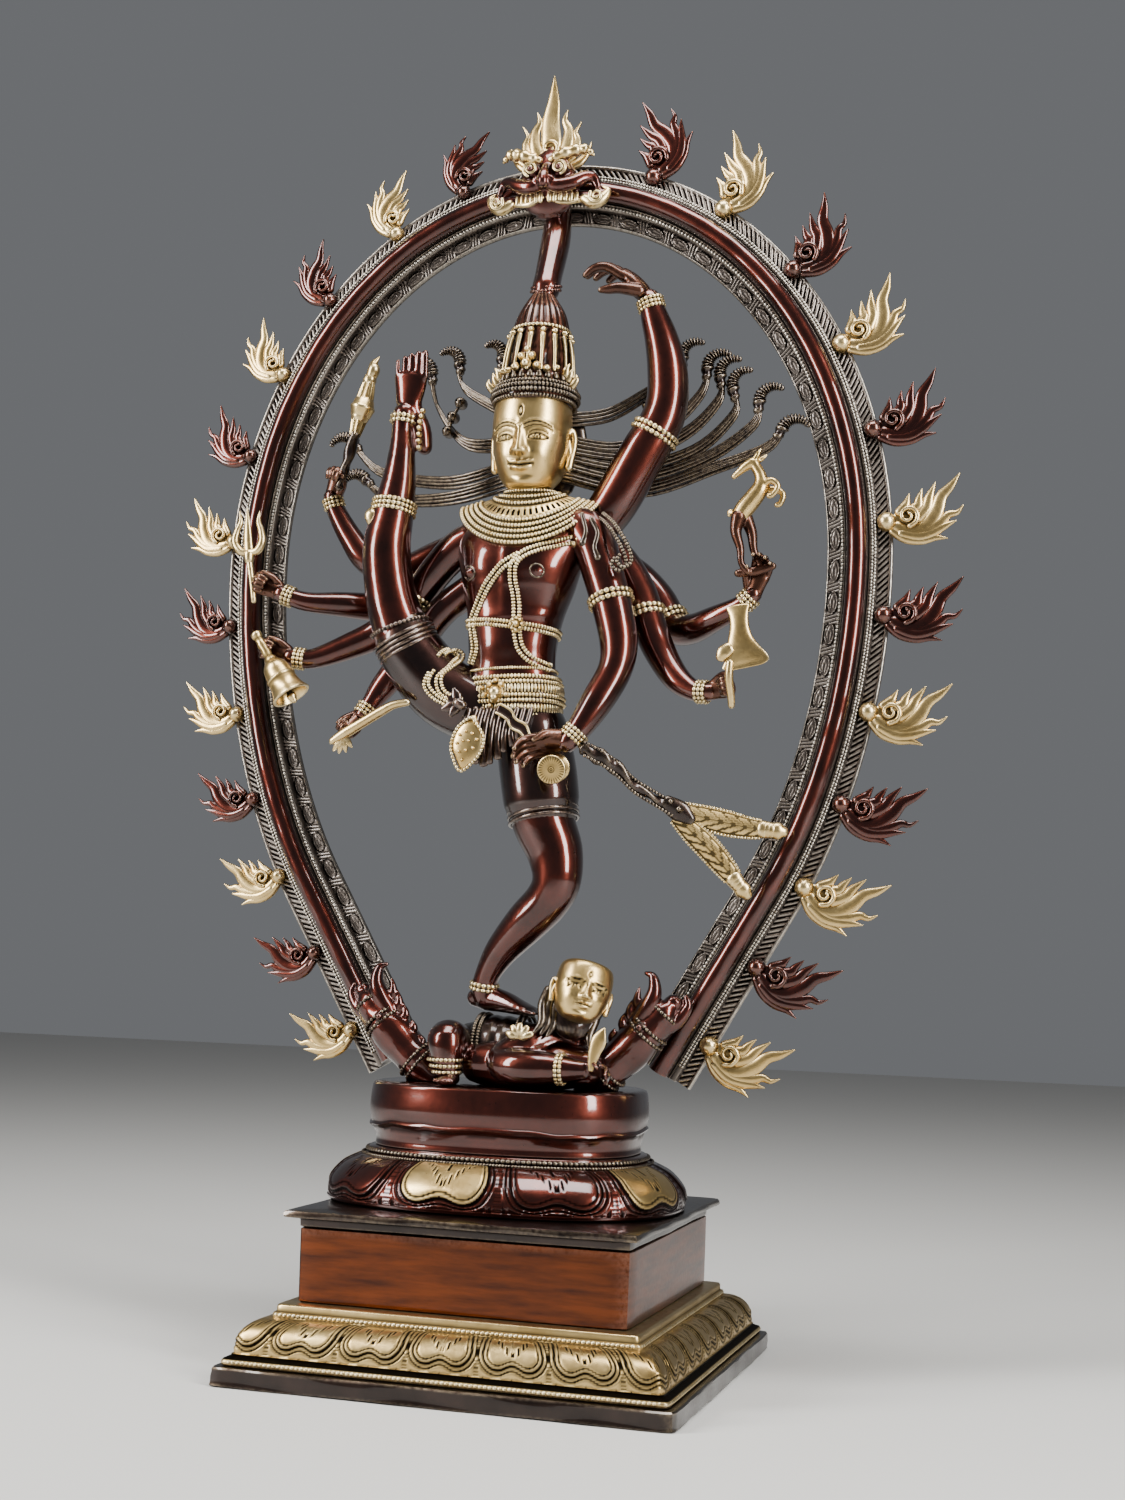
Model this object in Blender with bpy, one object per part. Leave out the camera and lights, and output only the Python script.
"""Dancing Shiva (nataraja) statue: brass castings on a stepped base inside a ring of flames.

Lengths are millimetres, turned to metres by MM. +Z is up, the statue faces -Y, and the origin
is on the floor under the middle of the foot plate. "Right" and "left" are the viewer's.
"""
import math

import bmesh
import bpy
from mathutils import Matrix, Vector

MM = 0.001
GAP = 0.3

# Base, from the floor up: half sizes of each rectangle and the heights where pieces meet
FOOT_HALF = (185.0, 186.0)
FOOT_HEIGHT = 15.0
BORDER_TOP = 60.0
BOX_HALF = (136.0, 136.0)
BOX_TOP = 118.0
SLAB_HALF = (145.0, 150.0)
SLAB_TOP = 132.5
WALL = 7.0
# Oval seat and drum: half sizes and the power of their rounded-rectangle outline
SEAT_HALF = (150.0, 114.0)
DRUM_HALF = (114.0, 86.0)
SEAT_X = -8.0
SEAT_TOP = 178.0
DRUM_TOP = 231.0
OVAL_POWER = 2.5
OVAL_SIDES = 28
# Arch: the curve that the round rib follows
ARCH_HALF_WIDTH = 275.5
ARCH_CENTRE_Z = 682.0
ARCH_RISE = 336.0
ARCH_DROP = 428.0
ARCH_LEG_ANGLE = math.radians(42.0)
ARCH_FOOT_Z = 246.0
RIB_RADIUS = 8.5
# Flames: twelve on each side, by their height up the arch, and what sets their shape
FLAME_OFFSET = 24.0
FLAME_HEIGHTS = (1026, 992, 933, 865, 789, 709, 630, 549, 472, 403, 336, 270)
# The left flames were cast a little smaller and set steeper
FLAME_SCALE = {-1: 0.86, 1: 1.0}
FLAME_LEAN = {-1: math.radians(8), 1: math.radians(-3)}
FLAME_Y = (8.0, 13.0)
ROSETTE_RADIUS = 8.4
ROSETTE_Y = (3.5, 15.7)

parts = bpy.data.collections.new("nataraja_statue")
cutters = bpy.data.collections.new("cutters")


def clear_scene():
    for item in list(bpy.data.objects):
        bpy.data.objects.remove(item, do_unlink=True)
    for group in (parts, cutters):
        bpy.context.scene.collection.children.link(group)


def finish_material(name, colour, roughness, metallic=1.0):
    material = bpy.data.materials.new(name)
    material.use_nodes = True
    shader = material.node_tree.nodes["Principled BSDF"]
    shader.inputs["Base Color"].default_value = (*colour, 1.0)
    shader.inputs["Roughness"].default_value = roughness
    shader.inputs["Metallic"].default_value = metallic
    return material


RED_BROWN = (0.17, 0.045, 0.025)
POLISHED = (0.72, 0.52, 0.22)
DARK = (0.055, 0.045, 0.042)


def add_part(name, mesh, colour, roughness=0.3):
    """Put a finished mesh into the statue as one named casting."""
    mesh.materials.clear()
    mesh.materials.append(finish_material(name, colour, roughness))
    mesh.shade_smooth()
    mesh.set_sharp_from_angle(angle=math.radians(35))
    piece = bpy.data.objects.new(name, mesh)
    parts.objects.link(piece)
    return piece


def add_cutter(name, mesh):
    cutter = bpy.data.objects.new(name, mesh)
    cutters.objects.link(cutter)
    cutter.hide_render = True
    cutter.display_type = "WIRE"
    return cutter


def boolean(piece, meshes, operation="DIFFERENCE"):
    for mesh in meshes:
        modifier = piece.modifiers.new("fit", "BOOLEAN")
        modifier.operation = operation
        modifier.solver = "EXACT"
        modifier.object = add_cutter(piece.name + "_cut", mesh)
    return piece


def mesh_from(bm, name):
    bmesh.ops.recalc_face_normals(bm, faces=bm.faces)
    mesh = bpy.data.meshes.new(name)
    bm.to_mesh(mesh)
    bm.free()
    return mesh


def smooth_route(points, steps):
    """Catmull-Rom points through (x, y, z, radius) stations."""
    stations = [Vector(p) for p in points]
    ends = [stations[0]] + stations + [stations[-1]]
    route = []
    for a, b, c, d in zip(ends, ends[1:], ends[2:], ends[3:]):
        for step in range(steps):
            t = step / steps
            route.append(0.5 * (2 * b + (c - a) * t + (2 * a - 5 * b + 4 * c - d) * t * t
                                + (3 * b - a - 3 * c + d) * t * t * t))
    route.append(stations[-1])
    return route


def limb(points, grow=0.0, steps=2, resolution=2):
    """A round tapering bar along (x, y, z, radius) stations, as a closed mesh."""
    curve = bpy.data.curves.new("limb", "CURVE")
    curve.dimensions = "3D"
    curve.bevel_depth = MM
    curve.bevel_resolution = resolution
    curve.use_fill_caps = True
    route = smooth_route(points, steps)
    start = (route[0] - route[1]).to_3d().normalized() * grow
    finish = (route[-1] - route[-2]).to_3d().normalized() * grow
    spline = curve.splines.new("POLY")
    spline.points.add(len(route) - 1)
    for index, (place, station) in enumerate(zip(spline.points, route)):
        middle = station.to_3d()
        if index == 0:
            middle += start
        if index == len(route) - 1:
            middle += finish
        place.co = (*(middle * MM), 1.0)
        place.radius = station[3] + grow
    holder = bpy.data.objects.new("limb", curve)
    bpy.context.scene.collection.objects.link(holder)
    graph = bpy.context.evaluated_depsgraph_get()
    mesh = bpy.data.meshes.new_from_object(holder.evaluated_get(graph))
    bpy.data.objects.remove(holder, do_unlink=True)
    bm = bmesh.new()
    bm.from_mesh(mesh)
    bmesh.ops.remove_doubles(bm, verts=bm.verts, dist=0.00001)
    return mesh_from(bm, "limb")


def ring(bm, centre, half_x, half_y, sides, power):
    """Corners of one level outline: power 2 is an ellipse, and more is squarer."""
    made = bmesh.ops.create_circle(bm, segments=sides, radius=1.0)["verts"]
    for corner in made:
        cos, sin = corner.co.x, corner.co.y
        x = math.copysign(abs(cos) ** (2 / power), cos) * half_x
        y = math.copysign(abs(sin) ** (2 / power), sin) * half_y
        corner.co = Vector((centre[0] + x, centre[1] + y, centre[2])) * MM
    return made


def rectangle(bm, half_x, half_y, z):
    corners = ((1, 1), (-1, 1), (-1, -1), (1, -1))
    return [bm.verts.new(Vector((x * half_x, y * half_y, z)) * MM) for x, y in corners]


def skin(bm, loops, joined=False):
    """Loft through outlines with equal corner counts. A joined stack closes on itself, and any
    other is capped at both ends."""
    pairs = list(zip(loops, loops[1:]))
    if joined:
        pairs.append((loops[-1], loops[0]))
    for lower, upper in pairs:
        for index in range(len(lower)):
            following = (index + 1) % len(lower)
            bm.faces.new((lower[index], lower[following], upper[following], upper[index]))
    if not joined:
        bm.faces.new(loops[0])
        bm.faces.new(loops[-1])


def rectangle_stack(name, levels, joined, colour, roughness=0.3):
    bm = bmesh.new()
    skin(bm, [rectangle(bm, *level) for level in levels], joined)
    return add_part(name, mesh_from(bm, name), colour, roughness)


def oval_mesh(levels, joined=False, sides=OVAL_SIDES, power=OVAL_POWER):
    """Levels are (x, y, z, half_x, half_y)."""
    bm = bmesh.new()
    skin(bm, [ring(bm, level[:3], level[3], level[4], sides, power) for level in levels], joined)
    return mesh_from(bm, "oval")


def inset(pair, amount):
    return pair[0] - amount, pair[1] - amount


def build_base():
    """Five stepped castings, hollow and open underneath, that lock into each other's rims."""
    foot_hole = inset(FOOT_HALF, 30.0)
    rectangle_stack("foot_plate", [(*FOOT_HALF, 0.0), (*FOOT_HALF, FOOT_HEIGHT),
                                   (*foot_hole, FOOT_HEIGHT), (*foot_hole, 0.0)], True, DARK, 0.45)
    low = FOOT_HEIGHT + GAP
    border = [(179, 180, low), (178, 179, 21), (172, 173, 24), (171, 172, 31), (166, 167, 40),
              (156, 157, 47), (150, 151, 50), (147, 148, BORDER_TOP)]
    hollow = [(147 - WALL - 8, 148 - WALL - 8, BORDER_TOP), (172 - WALL - 12, 173 - WALL - 12, low)]
    rectangle_stack("lotus_border", border + hollow, True, POLISHED)
    box_inside = inset(BOX_HALF, WALL)
    box_low = BORDER_TOP + GAP
    rectangle_stack("plinth_box", [(*BOX_HALF, box_low), (*BOX_HALF, BOX_TOP),
                                   (*box_inside, BOX_TOP), (*box_inside, box_low)], True, RED_BROWN)
    slab_low = BOX_TOP + GAP
    slab_inside = inset(BOX_HALF, 12.0)
    rectangle_stack("plinth_cap", [(*slab_inside, slab_low + 7), (*slab_inside, slab_low),
                                   (*inset(BOX_HALF, 2.0), slab_low), (*BOX_HALF, 126),
                                   (*SLAB_HALF, 127), (*SLAB_HALF, SLAB_TOP)], False, DARK, 0.35)


def build_seat():
    """Oval lotus seat with the drum on it, both cast hollow with a closed top."""
    low = SLAB_TOP + GAP
    seat = [(SEAT_X, 0, 168, 100, 70), (SEAT_X, 0, low, 136, 97), (SEAT_X, 0, low, *SEAT_HALF),
            (SEAT_X, 0, 139, SEAT_HALF[0] + 1, SEAT_HALF[1] + 1), (SEAT_X, 0, 152, 148, 109),
            (SEAT_X, 0, 163, 138, 101), (SEAT_X, 0, 170, 124, 92), (SEAT_X, 0, 172, 119, 90),
            (SEAT_X, 0, SEAT_TOP, 117, 88)]
    add_part("lotus_seat", oval_mesh(seat), RED_BROWN)
    base = SEAT_TOP + GAP
    drum = [(SEAT_X, 0, 224, 104, 75), (SEAT_X, 0, base, 104, 75), (SEAT_X, 0, base, 111, 82),
            (SEAT_X, 0, 186, 112, 83), (SEAT_X, 0, 200, 115, 86), (SEAT_X, 0, 203, 118, 89),
            (SEAT_X, 0, 206, 117, 88), (SEAT_X, 0, 222, 116, 87), (SEAT_X, 0, DRUM_TOP, *DRUM_HALF)]
    add_part("dais", oval_mesh(drum), RED_BROWN)


def arch_point(angle):
    """A point of the rib's curve: 90 degrees is the crown, and below the flank it runs straight."""
    if angle >= 0:
        return Vector((ARCH_HALF_WIDTH * math.cos(angle), ARCH_CENTRE_Z + ARCH_RISE * math.sin(angle)))
    if angle >= -ARCH_LEG_ANGLE:
        return Vector((ARCH_HALF_WIDTH * math.cos(angle), ARCH_CENTRE_Z + ARCH_DROP * math.sin(angle)))
    knee = arch_point(-ARCH_LEG_ANGLE)
    slope = Vector((-ARCH_HALF_WIDTH * math.sin(ARCH_LEG_ANGLE), -ARCH_DROP * math.cos(ARCH_LEG_ANGLE)))
    return knee + slope * (-ARCH_LEG_ANGLE - angle)


def arch_angle_at(height):
    """The curve parameter of a height above the floor, found by halving."""
    low, high = -math.pi / 2, math.pi / 2
    for _ in range(40):
        middle = (low + high) / 2
        if arch_point(middle).y < height:
            low = middle
        else:
            high = middle
    return high


def arch_normal(angle):
    step = 0.001
    run = (arch_point(angle + step) - arch_point(angle - step)).normalized()
    return Vector((run.y, -run.x))


def arch_profile():
    """Section across the arch: flat leaf-work plate behind, rib with bead edges, round bar in front.
    Each corner is (distance outwards, distance back)."""
    plate = [(-27, 16), (-27, 21), (28, 21), (28, 16)]
    outer = [(15, 16), (15, 7), (RIB_RADIUS, 7)]
    bar = []
    for step in range(1, 6):
        turn = math.pi * step / 6
        bar.append((RIB_RADIUS * math.cos(turn), 3 - RIB_RADIUS * math.sin(turn)))
    inner = [(-RIB_RADIUS, 7), (-13, 7), (-13, 16)]
    return plate + outer + bar + inner


def arch_mesh(side):
    """One half of the arch, from its foot on the drum to the crown."""
    bm = bmesh.new()
    foot = arch_angle_at(ARCH_FOOT_Z)
    stations = 26
    loops = []
    for index in range(stations + 1):
        angle = foot + (math.pi / 2 - foot) * index / stations
        middle, normal = arch_point(angle), arch_normal(angle)
        if index == stations:
            middle, normal = arch_point(math.pi / 2), Vector((0, 1))
            middle.x = GAP / 2
        corners = []
        for out, back in arch_profile():
            place = middle + normal * out
            if index == 0:
                place.y = DRUM_TOP + GAP
            corners.append(bm.verts.new(Vector((side * place.x, back, place.y)) * MM))
        loops.append(corners)
    skin(bm, loops)
    return mesh_from(bm, "arch")


def build_arch():
    add_part("arch_left", arch_mesh(-1), RED_BROWN)
    add_part("arch_right", arch_mesh(1), RED_BROWN)


def flame_outline():
    """Flat flame seen from the front, rosette at the origin, tongues sweeping out to +X and up."""
    return [(-4, -5), (8, -10), (26, -18), (51, -15.5), (38, -11), (57, -1), (44, -1), (63, 12),
            (52, 14), (61, 39), (36, 21), (40, 32), (30, 20), (29, 28), (22, 16), (18, 24),
            (6, 11), (-3, 5)]


def flame_seat(height):
    """Where a flame at this height above the floor sits on the arch, and which way is outwards."""
    low, high = -math.pi / 2, math.pi / 2
    for _ in range(40):
        middle = (low + high) / 2
        if (arch_point(middle) + arch_normal(middle) * FLAME_OFFSET).y < height:
            low = middle
        else:
            high = middle
    normal = arch_normal(high)
    return arch_point(high) + normal * FLAME_OFFSET, normal


def flame_mesh(side):
    curve = bpy.data.curves.new("flame", "CURVE")
    curve.dimensions = "2D"
    curve.fill_mode = "BOTH"
    curve.extrude = (FLAME_Y[1] - FLAME_Y[0]) / 2 * MM
    outline = flame_outline()
    spline = curve.splines.new("POLY")
    spline.use_cyclic_u = True
    spline.points.add(len(outline) - 1)
    for place, (x, y) in zip(spline.points, outline):
        place.co = (x * FLAME_SCALE[side] * MM, y * FLAME_SCALE[side] * MM, 0.0, 1.0)
    holder = bpy.data.objects.new("flame", curve)
    bpy.context.scene.collection.objects.link(holder)
    graph = bpy.context.evaluated_depsgraph_get()
    mesh = bpy.data.meshes.new_from_object(holder.evaluated_get(graph))
    bpy.data.objects.remove(holder, do_unlink=True)
    bm = bmesh.new()
    bm.from_mesh(mesh)
    bmesh.ops.remove_doubles(bm, verts=bm.verts, dist=0.00001)
    stand = Matrix.Translation((0, sum(FLAME_Y) / 2 * MM, 0)) @ Matrix.Rotation(math.radians(90), 4, "X")
    bmesh.ops.transform(bm, matrix=stand, verts=bm.verts)
    if side < 0:
        bmesh.ops.transform(bm, matrix=Matrix.Scale(-1, 4, (1, 0, 0)), verts=bm.verts)
    plate = mesh_from(bm, "flame_plate")
    bm = bmesh.new()
    depth = (ROSETTE_Y[1] - ROSETTE_Y[0]) * MM
    bmesh.ops.create_cone(bm, cap_ends=True, segments=9, radius1=ROSETTE_RADIUS * MM,
                          radius2=0.6 * ROSETTE_RADIUS * MM, depth=depth)
    lay = Matrix.Translation((0, sum(ROSETTE_Y) / 2 * MM, 0)) @ Matrix.Rotation(math.radians(90), 4, "X")
    bmesh.ops.transform(bm, matrix=lay, verts=bm.verts)
    boss = mesh_from(bm, "flame_boss")
    joined = bpy.data.objects.new("flame", plate)
    bpy.context.scene.collection.objects.link(joined)
    boolean(joined, [boss], "UNION")
    graph = bpy.context.evaluated_depsgraph_get()
    graph.update()
    result = bpy.data.meshes.new_from_object(joined.evaluated_get(graph))
    bpy.data.objects.remove(joined, do_unlink=True)
    return result


def build_flames():
    for side, word in ((-1, "left"), (1, "right")):
        shape = flame_mesh(side)
        for index, height in enumerate(FLAME_HEIGHTS):
            colour = POLISHED if index % 2 else RED_BROWN
            place, normal = flame_seat(height)
            turn = math.atan2(normal.y, normal.x) + FLAME_LEAN[side]
            piece = add_part("flame_%s_%02d" % (word, index + 1), shape.copy(), colour)
            piece.location = (side * place.x * MM, 0, place.y * MM)
            piece.rotation_euler = (0, -side * turn, 0)


def boolean_mesh(mesh, others, operation="UNION"):
    """Join (or cut) closed meshes at once and give back the result."""
    holder = bpy.data.objects.new("joined", mesh)
    bpy.context.scene.collection.objects.link(holder)
    boolean(holder, others, operation)
    graph = bpy.context.evaluated_depsgraph_get()
    graph.update()
    result = bpy.data.meshes.new_from_object(holder.evaluated_get(graph))
    bpy.data.objects.remove(holder, do_unlink=True)
    return result


def slab_mesh(outline, front, back):
    """A flat outline given as (x, z), made as thick as the space between two depths."""
    bm = bmesh.new()
    face = bm.faces.new([bm.verts.new(Vector((x, back, z)) * MM) for x, z in outline])
    pushed = bmesh.ops.extrude_face_region(bm, geom=[face])["geom"]
    moved = [item for item in pushed if isinstance(item, bmesh.types.BMVert)]
    bmesh.ops.translate(bm, vec=Vector((0, front - back, 0)) * MM, verts=moved)
    return mesh_from(bm, "slab")


# Bones of the figure: each limb is a list of (x, y, z, radius)
HEAD_POST = [(6, -34, 912, 11), (6, -24, 930, 12), (6, -8, 965, 13), (5, 2, 992, 12), (5, 2, 1000.6, 12)]
NECK = [(4, -46, 700, 20), (5, -49, 722, 18), (5, -50, 741, 17)]
STANDING_LEG = [(12, -45, 530, 29), (20, -46, 493, 31), (24, -47, 468, 31), (28, -47, 453, 27),
                (38, -48, 427, 23.5), (41, -50, 402, 20.5), (32, -48, 385, 19.5), (13, -44, 367, 18),
                (-8, -38, 343, 14.5), (-22, -34, 322, 10.5), (-24, -32, 309, 11.5)]
STANDING_FOOT = [(-30, -28, 305, 8), (-20, -31, 305, 11), (-4, -36, 302, 10), (16, -41, 297, 8),
                 (30, -45, 294, 6)]
RAISED_LEG = [(-26, -50, 540, 26), (-46, -54, 549, 29), (-65, -60, 562, 29), (-89, -69, 591, 26),
              (-108, -77, 638, 21.5), (-111, -80, 677, 20.5), (-108, -78, 706, 19),
              (-105, -75, 735, 15.5), (-104, -73, 762, 12), (-105, -71, 784, 9.5), (-104, -70, 800, 10)]
RAISED_FOOT = [(-101, -66, 770, 7), (-100, -66, 790, 11), (-101, -69, 812, 12), (-100, -71, 828, 13),
               (-99, -72, 850, 10)]
ARM_LEFT = (
    [(-50, -22, 694, 14), (-85, -23, 682, 14.5), (-120, -26, 668, 14), (-148, -30, 680, 13),
     (-165, -32, 700, 11), (-178, -34, 722, 9), (-185, -36, 742, 9.5), (-178, -38, 757, 6)],
    [(-46, -6, 662, 13), (-85, 0, 643, 14), (-120, -3, 640, 14), (-145, -16, 640, 13), (-171, -32, 640, 12),
     (-199, -42, 640, 9), (-219, -46, 650, 9.5), (-246, -50, 661, 5)],
    [(-52, -50, 688, 14), (-80, -46, 662, 14.5), (-105, -42, 632, 14), (-154, -48, 601, 12.5),
     (-184, -56, 584, 9), (-204, -60, 591, 9.5), (-226, -62, 596, 5)],
    [(-44, -48, 650, 12), (-72, -50, 626, 13), (-98, -50, 592, 13), (-118, -56, 563, 11),
     (-125, -62, 549, 8.5), (-132, -66, 536, 8.5), (-143, -70, 520, 5)],
)
ARM_RIGHT = (
    [(56, -28, 702, 17), (72, -32, 718, 20), (98, -34, 763, 20), (117, -32, 800, 18),
     (118, -32, 819, 17.5), (114, -34, 856, 16), (106, -36, 879, 14), (102, -38, 898, 10.5),
     (96, -38, 912, 10), (81, -38, 924, 8), (60, -40, 929, 6.5), (46, -40, 921, 4), (34, -40, 906, 2.5)],
    [(56, 8, 684, 13), (80, 12, 672, 14), (105, 10, 648, 14.5), (122, 2, 619, 14), (140, -12, 618, 13),
     (163, -26, 623, 11), (183, -34, 630, 8.5), (199, -38, 642, 9.5), (210, -42, 662, 5.5)],
    [(56, -24, 690, 14), (76, -22, 678, 14), (97, -24, 648, 14), (109, -31, 615, 14.5),
     (121, -34, 592, 13.5), (136, -44, 570, 12), (149, -50, 560, 9), (168, -54, 557, 9.5),
     (188, -56, 562, 5)],
    [(52, -56, 694, 16), (64, -55, 684, 18), (73, -56, 656, 17.5), (84, -60, 626, 17),
     (91, -64, 596, 15.5), (91, -69, 576, 14.5), (79, -79, 547, 14), (67, -88, 521, 11),
     (45, -94, 506, 10.5), (20, -98, 499, 6)],
)
HAIR_STRANDS = (
    [(22, -22, 782, 4), (70, -8, 776, 4.5), (120, -4, 800, 4.5), (146, -3, 826, 5), (150, -3, 849, 3.5)],
    [(22, -22, 768, 4), (80, -8, 758, 4.5), (140, -4, 775, 4.5), (176, -3, 806, 5), (174, -3, 835, 3.5)],
    [(22, -22, 752, 4), (90, -8, 738, 4.5), (160, -4, 762, 4.5), (205, -3, 776, 5), (217, -3, 799, 3.5)],
    [(22, -22, 800, 4), (60, -8, 806, 4.5), (100, -4, 830, 4.5), (130, -3, 846, 5), (128, -3, 862, 3.5)],
    [(-12, -22, 782, 4), (-70, -12, 786, 4.5), (-104, -8, 824, 5), (-112, -6, 858, 3.5)],
    [(-12, -22, 800, 4), (-44, -12, 818, 4.5), (-78, -8, 842, 5), (-82, -6, 868, 3.5)],
    [(-12, -22, 764, 4), (-80, -8, 752, 4.5), (-150, -4, 766, 5), (-180, -4, 797, 3.5)],
    [(-12, -22, 750, 4), (-80, -8, 738, 4.5), (-140, -4, 742, 5), (-168, -4, 762, 3.5)],
)
TORSO_LEVELS = [(-4, -46, 528, 34, 26), (-4, -46, 545, 41, 31), (-4, -46, 562, 40, 31),
                (-6, -46, 580, 37, 29), (-6, -47, 600, 38, 30), (-4, -48, 622, 41, 32),
                (-2, -48, 645, 47, 35), (-1, -48, 665, 52, 36), (1, -47, 685, 58, 33),
                (3, -46, 699, 56, 27), (4, -46, 709, 36, 22)]
HEAD_LEVELS = [(5, -58, 727, 10, 9), (5, -54, 733, 20, 20), (5, -51, 748, 29, 31), (5, -50, 770, 33, 35),
               (5, -49, 790, 33, 35), (5, -48, 806, 31, 33)]
CROWN_LEVELS = [(5, -48, 800, 34, 36), (6, -47, 812, 36, 38), (6, -46, 822, 32, 34), (7, -44, 850, 27, 29),
                (7, -42, 875, 24, 25), (7, -39, 895, 17, 18), (6, -37, 908, 11, 11)]
DWARF_TRUNK = [(-44, -22, 262, 22), (-10, -22, 259, 25), (28, -26, 262, 22), (56, -34, 276, 15),
               (64, -40, 292, 14)]
DWARF_SHIN = [(-42, -26, 262, 14), (-42, -46, 264, 17), (-42, -58, 266, 18), (-40, -64, 250, 14), (-39, -66, 240, 11)]
DWARF_ARM = [(30, -30, 262, 15), (2, -52, 258, 14), (8, -64, 252, 13), (42, -66, 251, 12),
             (70, -68, 248, 9), (82, -68, 250, 6)]
HIDE = [(70, -90, 502, 5), (88, -84, 494, 6.5), (108, -70, 479, 7), (141, -48, 459, 9),
        (176, -32, 450, 8.5), (216, -20, 446, 7)]
HIDE_LEG = [(141, -48, 459, 8), (164, -36, 434, 8.5), (190, -22, 398, 8)]


def grown(points):
    return limb(points, GAP)


def torso_mesh(grow=0.0):
    trunk = oval_mesh([(x, y, z, rx + grow, ry + grow) for x, y, z, rx, ry in TORSO_LEVELS], sides=20,
                      power=2.3)
    return boolean_mesh(trunk, [limb(NECK, grow, resolution=3)])


def level_mesh(levels, grow=0.0, sides=18):
    return oval_mesh([(x, y, z, rx + grow, ry + grow) for x, y, z, rx, ry in levels], sides=sides, power=2)


def build_figure():
    """Trunk with the neck, head, crown, legs and eight arms, each fitted 0.3 mm off its neighbour."""
    add_part("torso", torso_mesh(), RED_BROWN)
    boolean(add_part("head", level_mesh(HEAD_LEVELS), POLISHED), [limb(NECK, GAP, resolution=3)])
    boolean(add_part("crown", level_mesh(CROWN_LEVELS), POLISHED), [level_mesh(HEAD_LEVELS, GAP)])
    post = add_part("head_post", limb(HEAD_POST), RED_BROWN)
    boolean(post, [level_mesh(CROWN_LEVELS, GAP)])
    standing = boolean_mesh(limb(STANDING_LEG), [limb(STANDING_FOOT)])
    boolean(add_part("standing_leg", standing, RED_BROWN), [torso_mesh(GAP)])
    raised = boolean_mesh(limb(RAISED_LEG), [limb(RAISED_FOOT)])
    boolean(add_part("raised_leg", raised, RED_BROWN), [torso_mesh(GAP), grown(STANDING_LEG)])
    for index, points in enumerate(ARM_LEFT):
        arm = add_part("arm_left_%d" % (index + 1), limb(points), RED_BROWN)
        boolean(arm, [torso_mesh(GAP), grown(RAISED_LEG)])
    for index, points in enumerate(ARM_RIGHT):
        shape = limb(points)
        if index == 3:
            shape = boolean_mesh(shape, [drum_mesh()])
        arm = add_part("arm_right_%d" % (index + 1), shape, RED_BROWN)
        fits = [grown(ARM_RIGHT[0][:4])] if index else []
        boolean(arm, fits + [torso_mesh(GAP)])


def drum_mesh():
    """Small hourglass drum held in the front hand."""
    return limb([(54, -112, 486, 14), (50, -105, 488, 12), (45, -97, 491, 8), (39, -89, 493, 12),
                 (36, -84, 494, 14)], steps=1)


def build_hair():
    """Flying locks joined behind the head by a flat pad."""
    pad = level_mesh([(5, -13, 742, 30, 7), (5, -13, 775, 36, 8), (5, -13, 806, 30, 7)], sides=12)
    fan = boolean_mesh(pad, [limb(points, steps=3, resolution=1) for points in HAIR_STRANDS])
    fits = [level_mesh(HEAD_LEVELS, GAP), level_mesh(CROWN_LEVELS, GAP), grown(ARM_RIGHT[0]),
            torso_mesh(GAP)]
    boolean(add_part("hair_fan", fan, DARK, 0.4), fits)


def build_dwarf():
    """Dwarf under the standing foot, face up to the right, with one shin and forearm in front."""
    body = boolean_mesh(limb(DWARF_TRUNK), [limb(DWARF_SHIN), limb(DWARF_ARM), dwarf_head_mesh(),
                                            foot_block()])
    floor = slab_mesh([(-200, 200), (200, 200), (200, DRUM_TOP + GAP), (-200, DRUM_TOP + GAP)], -200, 200)
    foot = boolean_mesh(grown(STANDING_FOOT), [grown(STANDING_LEG)])
    boolean(add_part("dwarf", body, RED_BROWN), [floor, foot])


def dwarf_head_mesh():
    return level_mesh([(67, -48, 286, 12, 12), (67, -49, 294, 22, 20), (67, -49, 311, 26, 24),
                       (67, -48, 326, 21, 20), (67, -47, 334, 11, 11)], sides=14)


def foot_block():
    return level_mesh([(-38, -68, 230, 12, 13), (-38, -68, 241, 10, 10)], sides=10)


def makara_mesh(side):
    """Sea beast rising off the drum, with the arch standing in its open mouth."""
    body = limb([(side * 72, -24, 238, 15), (side * 92, -25, 256, 16.5), (side * 112, -25, 276, 16.5),
                 (side * 130, -23, 296, 14), (side * 138, -21, 308, 9)])
    plume = limb([(side * 122, -24, 296, 8), (side * 122, -24, 314, 6), (side * 127, -24, 328, 3)])
    return boolean_mesh(body, [plume])


def build_makaras():
    floor = [(-200, 200), (200, 200), (200, DRUM_TOP + GAP), (-200, DRUM_TOP + GAP)]
    for side, word in ((-1, "left"), (1, "right")):
        piece = add_part("makara_" + word, makara_mesh(side), RED_BROWN)
        boolean(piece, [slab_mesh(floor, -200, 200), grown(DWARF_TRUNK), grown(DWARF_ARM)])


def crest_outline():
    """Flame standing over the lion mask, seen from the front."""
    half = [(0, 1119), (6, 1092), (10, 1072), (17, 1086), (17, 1066), (28, 1074), (25, 1054), (38, 1054),
            (30, 1040), (20, 1032), (0, 1030)]
    return half + [(-x, z) for x, z in reversed(half[1:-1])]


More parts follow.
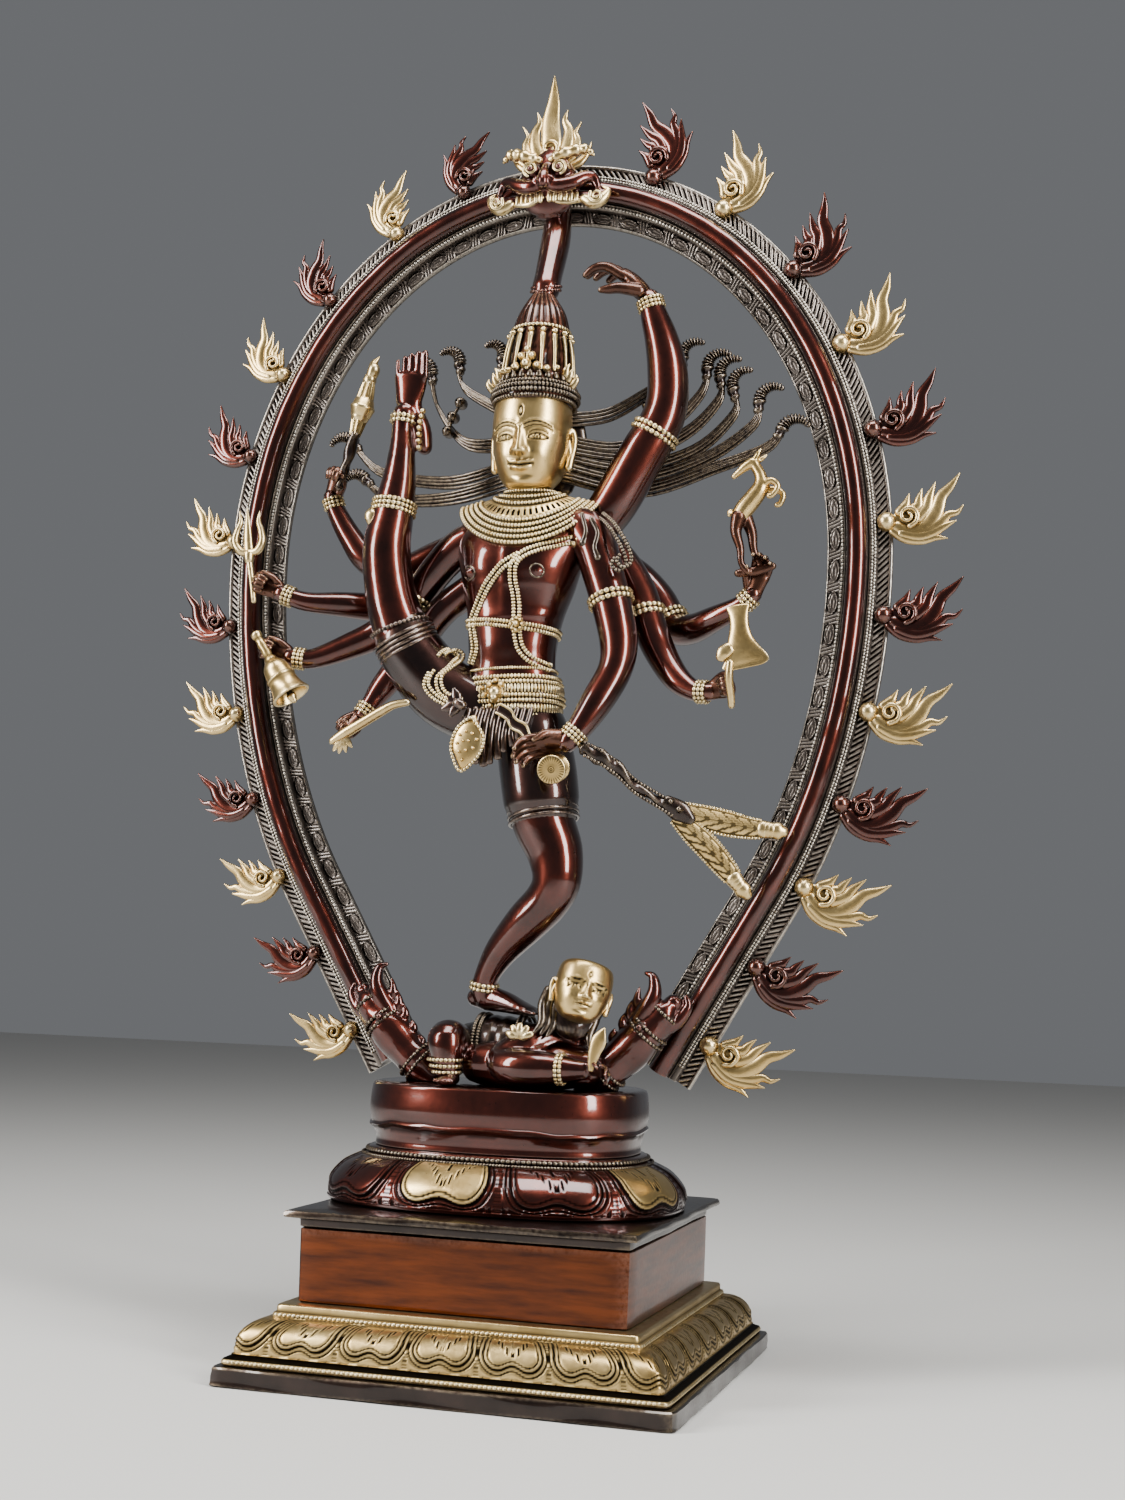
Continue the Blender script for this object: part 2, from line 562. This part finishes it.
def build_kirtimukha():
    """Lion mask over the crown of the arch, with horns, two side scrolls and the top flame."""
    crest = slab_mesh(crest_outline(), -16, -8)
    face = level_mesh([(0, -15, 989, 14, 7), (0, -17, 1000, 24, 9), (0, -18, 1018, 27, 10.5),
                       (0, -17, 1034, 22, 9.5), (0, -14, 1045, 10, 6)], sides=14)
    extras = [face]
    for side in (-1, 1):
        extras.append(limb([(side * 14, -17, 1028, 5), (side * 30, -16, 1036, 5), (side * 42, -14, 1030, 5),
                            (side * 54, -13, 1018, 4)], resolution=1))
        extras.append(limb([(side * 18, -16, 1004, 8), (side * 34, -16, 1000, 8), (side * 46, -14, 998, 7),
                            (side * 54, -13, 1003, 5)], resolution=1))
    mask = add_part("kirtimukha", boolean_mesh(crest, extras), DARK, 0.35)
    boolean(mask, [grown(HEAD_POST)])


def build_attributes():
    """What the hands hold: torch, trident, bell, club, deer, axe, and the hide over one wrist."""
    add_part("torch", limb([(-166, -46, 752, 3), (-160, -48, 780, 4), (-154, -48, 808, 5),
                            (-151, -48, 815, 9.5), (-149, -48, 822, 6), (-146, -48, 838, 7),
                            (-139, -48, 856, 1.5)], steps=2), POLISHED)
    prongs = [limb([(-249, -59, 682, 2.5), (-262, -59, 692, 2.2), (-263, -59, 718, 0.8)], resolution=1),
              limb([(-249, -59, 682, 2.5), (-240, -59, 694, 2.2), (-243, -59, 720, 0.8)], resolution=1),
              limb([(-249, -59, 680, 2.5), (-251, -59, 700, 2.2), (-252, -59, 712, 0.8)], resolution=1)]
    add_part("trident", boolean_mesh(limb([(-246, -59, 640, 3), (-249, -59, 682, 3)], steps=1), prongs),
             POLISHED)
    build_bell()
    club = boolean_mesh(limb([(-81, -86, 546, 4), (-109, -85, 536, 4.5), (-144, -83, 516, 4.5)], steps=2),
                        [limb([(-140, -83, 518, 6), (-154, -83, 510, 3)], steps=1),
                         limb([(-140, -83, 518, 6), (-131, -83, 506, 3)], steps=1)])
    add_part("club", club, POLISHED)
    deer = boolean_mesh(
        limb([(209, -49, 682, 3.5), (200, -49, 694, 7), (191, -49, 708, 7), (195, -49, 727, 5.5),
              (199, -49, 738, 4.5), (184, -49, 741, 2.5)], resolution=1),
        [limb([(192, -49, 712, 4), (207, -49, 722, 3), (214, -49, 716, 2)], resolution=1),
         limb([(204, -49, 690, 4), (214, -49, 700, 3), (219, -49, 690, 2)], resolution=1)])
    add_part("deer", deer, POLISHED)
    axe = [(184, 548), (190, 562), (196, 576), (204, 573), (217, 577), (213, 588), (204, 600), (200, 612),
           (203, 625), (192, 622), (181, 627), (186, 612), (185, 600), (180, 589), (174, 570), (176, 550)]
    add_part("axe", slab_mesh(axe, -74, -68), POLISHED)
    build_hide()


def build_hide():
    """Beaded hide that trails from the front left wrist to the arch and splits in two legs."""
    strip = boolean_mesh(limb(HIDE), [limb(HIDE_LEG)])
    boolean(add_part("hide", strip, DARK, 0.4), [grown(ARM_RIGHT[3])])


BELL_TOP = Vector((-212, -76, 580))
BELL_AXIS = Vector((0.56, 0.0, -0.83)).normalized()


def build_bell():
    """Hand bell: turned profile, open at its mouth, tilted, with the clapper ball cast fast."""
    profile = [(3.0, -34), (5.0, -32), (5.0, -28), (3.2, -26), (3.2, -8), (5.5, -6), (7.5, -2), (11, 4),
               (12, 16), (13.5, 24), (17, 31), (17, 33), (14.5, 33), (11, 24), (9.5, 10), (6.5, 4)]
    bm = bmesh.new()
    loops = []
    frame = BELL_AXIS.to_track_quat("Z", "Y").to_matrix()
    for radius, along in profile:
        made = bmesh.ops.create_circle(bm, segments=16, radius=radius * MM)["verts"]
        for corner in made:
            corner.co = frame @ (corner.co + Vector((0, 0, along * MM))) + BELL_TOP * MM
        loops.append(made)
    skin(bm, loops)
    add_part("bell", mesh_from(bm, "bell"), POLISHED)
    start = BELL_TOP + BELL_AXIS * (4 + GAP)
    middle = BELL_TOP + BELL_AXIS * 26
    ball = BELL_TOP + BELL_AXIS * 34
    end = BELL_TOP + BELL_AXIS * 38
    add_part("bell_clapper", limb([(*start, 1.2), (*middle, 1.2), (*ball, 4.5), (*end, 3.0)], steps=2,
                                  resolution=1), POLISHED)


clear_scene()
build_base()
build_seat()
build_arch()
build_flames()
build_figure()
build_hair()
build_dwarf()
build_makaras()
build_kirtimukha()
build_attributes()
